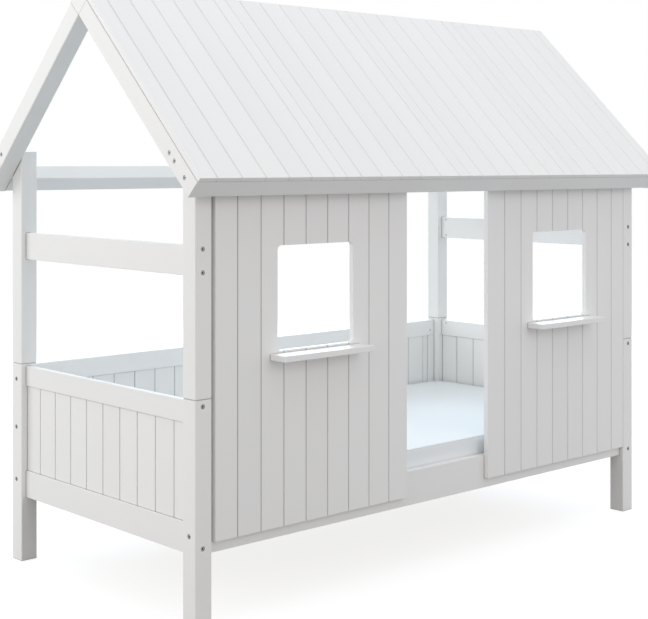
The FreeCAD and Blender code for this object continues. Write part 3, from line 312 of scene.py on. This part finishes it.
end_row = board_row("end_boards_left", Y_AXIS, equal=8, first=68.7 * MM, last=79.1 * MM)
rear_row = board_row("rear_boards", X_AXIS, equal=21, first=38.1 * MM, last=38.1 * MM)
left_row = board_row("wall_boards_left", X_AXIS, equal=7, first=80.9 * MM, last=80.9 * MM)
right_row = board_row("wall_boards_right", X_AXIS, equal=7, first=88.9 * MM, last=72.9 * MM)
roof_row = board_row("roof_panel_1", X_AXIS, equal=5, first=61.6 * MM, last=50.3 * MM)
dress(painted_wood("white_satin_paint_end_boards", UPRIGHT, end_row), "end_boards")
dress(painted_wood("white_satin_paint_rear_boards", UPRIGHT, rear_row, WALL_PAINTED_SHADE_POWER),
      "rear_boards")
dress(painted_wood("white_satin_paint_left_boards", UPRIGHT, left_row, WALL_PAINTED_SHADE_POWER),
      "wall_boards_left")
dress(painted_wood("white_satin_paint_right_boards", UPRIGHT, right_row, WALL_PAINTED_SHADE_POWER),
      "wall_boards_right")
dress(painted_wood("white_satin_paint_roof_boards", FRONT_SLOPE, roof_row, ROOF_PAINTED_SHADE_POWER),
      "roof_panel")

# %% [markdown]
# ## Bare pine
# The slats that carry the mattress, the cleats under them and the joining dowels are left bare.
# Planed pine has pale earlywood and darker, narrow latewood lines along its length, which is a
# ring pattern: a wave stretched along the timber and pushed about by noise.

# %% Bare pine
EARLYWOOD = "#E2C79A"
LATEWOOD = "#C79F68"
PINE_ROUGHNESS = 0.6
PINE_IOR = 1.45
LINE_SPACING = 9.0 * MM
LINE_WANDER = 6.0
LINE_DETAIL = 2.0
LINE_DETAIL_SCALE = 0.6
PINE_RELIEF = 0.08 * MM
# A wave texture repeats after this length at scale 1.
WAVE_PERIOD = math.pi / 10
# A Mix node's colour sockets, by their numbers: its names are shared by several kinds of socket.
MIX_A, MIX_B, MIX_RESULT = 6, 7, 2


def bare_pine(name, turn):
    """Planed pine without a finish, with its lines along the x axis of turned coordinates."""
    material, tree = new_material(name)
    place = add(tree, "ShaderNodeTexCoord").outputs["Object"]
    turned = add(tree, "ShaderNodeMapping", {"Vector": place, "Rotation": turn})
    long = add(tree, "ShaderNodeMapping",
               {"Vector": turned.outputs[0], "Scale": (LINE_SPACING / RING_LENGTH, 1.0, 1.0)})
    lines = add(tree, "ShaderNodeTexWave",
                {"Vector": long.outputs[0], "Scale": WAVE_PERIOD / LINE_SPACING,
                 "Distortion": LINE_WANDER, "Detail": LINE_DETAIL,
                 "Detail Scale": LINE_DETAIL_SCALE}, bands_direction="Y")
    colour = add(tree, "ShaderNodeMix",
                 {0: lines.outputs["Fac"], MIX_A: linear(EARLYWOOD), MIX_B: linear(LATEWOOD)},
                 data_type="RGBA")
    relief = add(tree, "ShaderNodeBump", {"Height": lines.outputs["Fac"], "Distance": PINE_RELIEF})
    shader = add(tree, "ShaderNodeBsdfPrincipled",
                 {"Base Color": colour.outputs[MIX_RESULT], "Roughness": PINE_ROUGHNESS,
                  "Normal": relief.outputs[0], "IOR": PINE_IOR})
    add(tree, "ShaderNodeOutputMaterial", {"Surface": shader.outputs[0]})
    return material


dress(bare_pine("bare_pine_slats", CROSSWISE), "slats")
dress(bare_pine("bare_pine_lengthwise", LENGTHWISE), "slat_cleat", "rail_dowels")
dress(bare_pine("bare_pine_post_dowels", UPRIGHT), "post_dowels")

# %% [markdown]
# ## Zinc-plated steel
# Bolts, threaded inserts, screws and brackets are steel with a thin clear-passivated zinc coat.
# Plating leaves a fine crystalline surface, a bluish grey with soft highlights. The crystals are
# finer than a render can hold, so they're drawn about 1.5 mm wide. The deep sockets of the bolts
# are the darkest spots on the bed, so the zinc gets the strongest painted shade in its hollows. The
# barrel nuts end flush in the rails and are painted over with them.

# %% Zinc-plated steel
ZINC = "#9A9B9D"
ZINC_ROUGHNESS = 0.38
ZINC_SPREAD = 0.08
ZINC_PAINTED_SHADE_POWER = 2.0
CRYSTAL_SIZE = 1.5 * MM
CRYSTAL_RELIEF = 0.01 * MM
STEEL_PIECES = ("rail_bolts", "stile_bolts", "rafter_bolts", "ridge_bolts", "threaded_inserts",
                "wall_brackets", "bracket_screws", "slat_screws", "cleat_screws", "wall_screws",
                "front_rail_screws", "sill_screws", "roof_board_screws", "roof_fixing_screws")


def zinc_steel():
    """Steel under a satin zinc coat."""
    material, tree = new_material("zinc_plated_steel")
    place = add(tree, "ShaderNodeTexCoord").outputs["Object"]
    crystals = add(tree, "ShaderNodeTexVoronoi", {"Vector": place, "Scale": 1 / CRYSTAL_SIZE})
    rough = add(tree, "ShaderNodeMapRange",
                {"Value": crystals.outputs["Distance"], "To Min": ZINC_ROUGHNESS - ZINC_SPREAD,
                 "To Max": ZINC_ROUGHNESS + ZINC_SPREAD})
    relief = add(tree, "ShaderNodeBump",
                 {"Height": crystals.outputs["Distance"], "Distance": CRYSTAL_RELIEF})
    # Painted shade in the sockets and other hollows darkens the zinc's colour.
    colour = painted_hollow_shade(tree, linear(ZINC)[:3], ZINC_PAINTED_SHADE_POWER)
    shader = add(tree, "ShaderNodeBsdfPrincipled",
                 {"Base Color": colour, "Metallic": 1.0, "Roughness": rough.outputs[0],
                  "Normal": relief.outputs[0]})
    add(tree, "ShaderNodeOutputMaterial", {"Surface": shader.outputs[0]})
    return material


dress(zinc_steel(), *STEEL_PIECES)
dress(upright, "barrel_nuts")

# %% [markdown]
# ## The mattress
# A foam core, 120 mm thick, sits in a sewn cotton cover: a top and a bottom panel joined by a side
# band, with a piped seam along both edges. Foam keeps its flat shape, and the cover draws each
# panel a little rounder between its seams. So the frame's plain block becomes a closed cloth that
# inner pressure fills, and a point may only move as far as the nearest seam lets it. At the end the
# cover is brought back to the block's own size, so it is as full as the block, lies flat on the
# slats and stays clear of the rails.

# %% The foam block, with a skin of small faces
REMESH_SIZE = 8.0 * MM
SHRINK = 4.0 * MM
AXES = range(3)


def own_object(name, mesh):
    """A new object at the origin with this mesh, selected alone and active."""
    made = bpy.data.objects.new(name, mesh)
    bpy.context.scene.collection.objects.link(made)
    bpy.ops.object.select_all(action="DESELECT")
    made.select_set(True)
    bpy.context.view_layer.objects.active = made
    return made


def remesh(made):
    """Give a block an even skin of small faces, so that it can bend as cloth does."""
    modifier = made.modifiers.new("Remesh", "REMESH")
    modifier.mode = "VOXEL"
    modifier.voxel_size = REMESH_SIZE
    bpy.ops.object.modifier_apply(modifier=modifier.name)


def resize(made, low, high):
    """Stretch a mesh along each axis until its box has these corners."""
    places = [vertex.co.copy() for vertex in made.data.vertices]
    small = [min(place[axis] for place in places) for axis in AXES]
    large = [max(place[axis] for place in places) for axis in AXES]
    for vertex in made.data.vertices:
        shares = [(vertex.co[axis] - small[axis]) / (large[axis] - small[axis]) for axis in AXES]
        vertex.co = [low[axis] + shares[axis] * (high[axis] - low[axis]) for axis in AXES]


low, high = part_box("mattress")
margin = Vector((SHRINK, SHRINK, SHRINK))
block = nodes["mattress"].data.copy()
block.transform(nodes["mattress"].matrix_world)
cover = own_object("mattress_cover", block)
cover.data.materials.clear()
remesh(cover)
resize(cover, low + margin, high - margin)
print("cover faces:", len(cover.data.polygons))

# %% [markdown]
# The cloth is simulated without weight, because the foam inside carries it. Cotton on foam moves by
# only a few millimetres, and not at all at a seam, so each point's move is cut short by its
# distance from the seams.

# %% The cover filled by inner pressure
PRESSURE = 4.0
FRAMES = 20
COVER_TRAVEL = 3.0 * MM
SEAM_UP = 5.0 * MM
SEAM_REACH = 90.0 * MM


def fill_cover(made):
    """Let the cover fill under inner pressure, as a closed cloth without weight."""
    modifier = made.modifiers.new("Cover", "CLOTH")
    modifier.settings.use_pressure = True
    modifier.settings.uniform_pressure_force = PRESSURE
    modifier.settings.effector_weights.gravity = 0
    for frame_number in range(1, FRAMES + 1):
        bpy.context.scene.frame_set(frame_number)
    bpy.ops.object.modifier_apply(modifier=modifier.name)
    bpy.context.scene.frame_set(1)


def seam_distance(place, low, high):
    """How far a point of the cover is from the seam along its top or bottom edge."""
    inset = min(place.x - low.x, high.x - place.x, place.y - low.y, high.y - place.y)
    height = min(abs(place.z - low.z - SEAM_UP), abs(high.z - SEAM_UP - place.z))
    return math.hypot(max(inset, 0.0), height)


def hold_by_seams(made, before, low, high):
    """Cut each point's move short, to what the nearest seam allows."""
    for start, vertex in zip(before, made.data.vertices):
        allowed = COVER_TRAVEL * min(1.0, seam_distance(start, low, high) / SEAM_REACH)
        move = vertex.co - start
        if move.length > allowed:
            vertex.co = start + move * (allowed / move.length)


before = [vertex.co.copy() for vertex in cover.data.vertices]
fill_cover(cover)
hold_by_seams(cover, before, low, high)
travelled = max((vertex.co - start).length for start, vertex in zip(before, cover.data.vertices))
resize(cover, low, high)
bpy.ops.object.shade_smooth()
print("points of the cover moved at most", round(travelled / MM, 1), "mm")

# %% [markdown]
# The piping is a thin cord sewn into both seams. It follows the cover's outline, a rectangle with
# rounded corners, so it is made from a plane: its corners are rounded, its face is taken away, and
# the line that is left gets a round section.

# %% Piping along both seams
PIPING_RADIUS = 1.6 * MM
PIPING_ROUNDNESS = 3
CORNER_RADIUS = 75.0 * MM
CORNER_STEPS = 12


def piping(name, height):
    """A cord round the mattress at one height."""
    centre = (low + high) / 2
    size = high - low
    bpy.ops.object.select_all(action="DESELECT")
    bpy.ops.mesh.primitive_plane_add(size=1.0, location=(centre.x, centre.y, height))
    made = bpy.context.active_object
    made.name = name
    made.scale = (size.x - 2 * PIPING_RADIUS, size.y - 2 * PIPING_RADIUS, 1.0)
    bpy.ops.object.transform_apply(location=True, rotation=False, scale=True)
    bpy.ops.object.mode_set(mode="EDIT")
    bpy.ops.mesh.select_all(action="SELECT")
    bpy.ops.mesh.bevel(affect="VERTICES", offset=CORNER_RADIUS, offset_type="WIDTH",
                       segments=CORNER_STEPS)
    bpy.ops.mesh.delete(type="ONLY_FACE")
    bpy.ops.object.mode_set(mode="OBJECT")
    bpy.ops.object.convert(target="CURVE")
    made.data.bevel_depth = PIPING_RADIUS
    made.data.bevel_resolution = PIPING_ROUNDNESS
    bpy.ops.object.convert(target="MESH")
    bpy.ops.object.shade_smooth()
    return made


top_piping = piping("mattress_piping_top", high.z - SEAM_UP)
bottom_piping = piping("mattress_piping_bottom", low.z + SEAM_UP)
print("piping length:", round(2 * (high.x - low.x + high.y - low.y), 2), "m before its corners")

# %% [markdown]
# The cover is a closely woven white cotton. Seen close, warp and weft make a small square relief,
# and loose fibres catch light along the edges, which is the sheen. The real threads are 0.4 mm
# apart, finer than a render can hold, so the weave is drawn 2 mm wide.

# %% Woven cotton
COTTON = "#F1F4F5"
COTTON_ROUGHNESS = 0.85
COTTON_IOR = 1.5
COTTON_SHEEN = 0.15
THREAD_SPACING = 2.0 * MM
THREAD_RELIEF = 0.12 * MM
CREASE_SIZE = 260.0 * MM
CREASE_DETAIL = 2.0
CREASE_RELIEF = 1.2 * MM


def woven_cotton():
    """White cotton: two crossed sets of threads over soft, wide unevenness."""
    material, tree = new_material("woven_white_cotton")
    place = add(tree, "ShaderNodeTexCoord").outputs["Object"]
    warp = add(tree, "ShaderNodeTexWave",
               {"Vector": place, "Scale": WAVE_PERIOD / THREAD_SPACING}, bands_direction="X")
    weft = add(tree, "ShaderNodeTexWave",
               {"Vector": place, "Scale": WAVE_PERIOD / THREAD_SPACING}, bands_direction="Y")
    threads = add(tree, "ShaderNodeMath",
                  {0: warp.outputs["Fac"], 1: weft.outputs["Fac"]}, operation="MAXIMUM")
    creases = add(tree, "ShaderNodeTexNoise",
                  {"Vector": place, "Scale": 1 / CREASE_SIZE, "Detail": CREASE_DETAIL})
    wide = add(tree, "ShaderNodeBump",
               {"Height": creases.outputs["Fac"], "Distance": CREASE_RELIEF})
    fine = add(tree, "ShaderNodeBump",
               {"Height": threads.outputs[0], "Distance": THREAD_RELIEF,
                "Normal": wide.outputs[0]})
    shader = add(tree, "ShaderNodeBsdfPrincipled",
                 {"Base Color": linear(COTTON), "Roughness": COTTON_ROUGHNESS, "IOR": COTTON_IOR,
                  "Sheen Weight": COTTON_SHEEN, "Normal": fine.outputs[0]})
    add(tree, "ShaderNodeOutputMaterial", {"Surface": shader.outputs[0]})
    return material


cotton = woven_cotton()
nodes["mattress"].data.materials.clear()
nodes["mattress"].data.materials.append(cotton)
for made in (cover, top_piping, bottom_piping):
    made.data.materials.append(cotton)
    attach(made, "root")
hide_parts("mattress")
print(cotton.name, "on the cover and both pipings")

# %% [markdown]
# ## Floor
# The bed stands on a white studio floor that runs out of sight. A floor lit enough to look white
# would throw that light back up at the bed. So the floor that lights the bed is a plain mid grey,
# and only the floor that is seen is white: it glows, and adds a share of the light that falls on
# it, which keeps a faint shadow under the bed.

# %% Studio floor
FLOOR_SIZE = 30.0
FLOOR_COLOUR = "#A0A0A0"
FLOOR_LIT_SHARE = "#959595"
FLOOR_GLOW = 0.8


def seen_directly(tree):
    """1 where the camera sees a surface straight, in a reflection or through glass, else 0."""
    path = add(tree, "ShaderNodeLightPath")
    reflected = add(tree, "ShaderNodeMath",
                    {0: path.outputs["Is Camera Ray"], 1: path.outputs["Is Glossy Ray"]},
                    operation="MAXIMUM")
    seen = add(tree, "ShaderNodeMath",
               {0: reflected.outputs[0], 1: path.outputs["Is Transmission Ray"]},
               operation="MAXIMUM")
    return seen.outputs[0]


def studio_floor():
    """A white floor that still darkens a little where the bed shades it."""
    bpy.ops.object.select_all(action="DESELECT")
    bpy.ops.mesh.primitive_plane_add(size=FLOOR_SIZE, location=(0.0, 0.0, 0.0))
    floor = bpy.context.active_object
    floor.name = "studio_floor"
    material, tree = new_material("studio_floor_white")
    plain = add(tree, "ShaderNodeBsdfDiffuse", {"Color": linear(FLOOR_COLOUR)})
    shaded = add(tree, "ShaderNodeBsdfDiffuse", {"Color": linear(FLOOR_LIT_SHARE)})
    glow = add(tree, "ShaderNodeEmission", {"Strength": FLOOR_GLOW})
    white = add(tree, "ShaderNodeAddShader", {0: shaded.outputs[0], 1: glow.outputs[0]})
    mixed = add(tree, "ShaderNodeMixShader",
                {0: seen_directly(tree), 1: plain.outputs[0], 2: white.outputs[0]})
    add(tree, "ShaderNodeOutputMaterial", {"Surface": mixed.outputs[0]})
    floor.data.materials.append(material)


studio_floor()
print("floor:", FLOOR_SIZE, "m square")

# %% [markdown]
# ## World and lamps
# The world gives even light from all round, and is plain white where it is seen. Seven large soft
# lamps shape that light. The strongest stands at the rear right and is cool: it comes in over the
# open rear slope and lies on the mattress. Weaker ones stand round the bed and above it. The front
# wall gets the least light, so it shows as a light grey beside the white left end and roof.

# %% Studio light
WHITE = "#FFFFFF"
WORLD_STRENGTH = 0.69
# Seen straight, a strength of 1 is white.
SEEN_STRENGTH = 1.0
BED_MIDDLE = Vector((0.0, 0.0, 0.9))
# Each lamp's place, its width and height, its watts and its colour.
LAMPS = {
    "left": ((-6.0, -1.0, 2.2), (4.0, 3.0), 59.0, "#FFFAF8"),
    "above": ((0.0, -1.0, 6.0), (5.0, 4.0), 63.0, "#E0F1FF"),
    "front": ((0.5, -6.0, 2.8), (3.0, 3.0), 35.0, "#FFF4F3"),
    "front_right": ((5.0, -4.5, 2.5), (3.0, 3.0), 33.0, "#ECEFFF"),
    "rear_left": ((-4.5, 4.0, 2.5), (3.0, 3.0), 82.0, "#FAFDFF"),
    "rear_high": ((1.0, 5.0, 4.5), (4.0, 3.0), 56.0, "#D6EEFF"),
    "rear_right": ((4.5, 4.0, 2.5), (3.0, 3.0), 242.0, "#CBE8FF"),
}


def studio_world():
    """Even light from all round, and plain white where it is seen."""
    world = bpy.data.worlds.new("studio")
    bpy.context.scene.world = world
    world.use_nodes = True
    tree = world.node_tree
    tree.nodes.clear()
    light = add(tree, "ShaderNodeBackground",
                {"Color": linear(WHITE), "Strength": WORLD_STRENGTH})
    white = add(tree, "ShaderNodeBackground",
                {"Color": linear(WHITE), "Strength": SEEN_STRENGTH})
    mixed = add(tree, "ShaderNodeMixShader",
                {0: seen_directly(tree), 1: light.outputs[0], 2: white.outputs[0]})
    add(tree, "ShaderNodeOutputWorld", {"Surface": mixed.outputs[0]})


def lamp(name, place, size, watts, colour):
    """A large soft lamp at a place, turned to the middle of the bed."""
    bpy.ops.object.light_add(type="AREA", location=place)
    made = bpy.context.active_object
    made.name = name
    made.data.shape = "RECTANGLE"
    made.data.size, made.data.size_y = size
    made.data.energy = watts
    made.data.color = linear(colour)[:3]
    made.rotation_euler = (BED_MIDDLE - Vector(place)).to_track_quat("-Z", "Y").to_euler()


studio_world()
for name, (place, size, watts, colour) in LAMPS.items():
    lamp(name, place, size, watts, colour)
print("lamps:", len(LAMPS), "in", ", ".join(LAMPS))

# %% [markdown]
# ## Camera
# The photograph keeps uprights upright, so its camera is level and its frame is shifted: the optical
# axis meets the picture left of the middle and well above it. The values follow from the picture's
# 648 x 619 frame and the bed's size: distance and angle from the way its long and short sides
# shrink, focal length from how fast they do.

# %% Camera
PICTURE_WIDE = 648
PICTURE_TALL = 619
FOCAL_PIXELS = 1369.0
# Where the optical axis meets the picture, in pixels from its left and from its top.
AXIS_ACROSS = 279.85
AXIS_DOWN = 163.41
SENSOR = 36.0
HEADING = 0.72156
CAMERA_PLACE = (-3.34976, -3.46778, 1.29622)

bpy.ops.object.camera_add(location=CAMERA_PLACE, rotation=(QUARTER, 0.0, -HEADING))
camera = bpy.context.active_object
camera.data.sensor_width = SENSOR
camera.data.lens = FOCAL_PIXELS / PICTURE_WIDE * SENSOR
camera.data.shift_x = (PICTURE_WIDE / 2 - AXIS_ACROSS) / PICTURE_WIDE
camera.data.shift_y = (AXIS_DOWN - PICTURE_TALL / 2) / PICTURE_WIDE
bpy.context.scene.camera = camera
bpy.context.scene.view_settings.view_transform = "Standard"
print("lens:", round(camera.data.lens, 1), "mm")
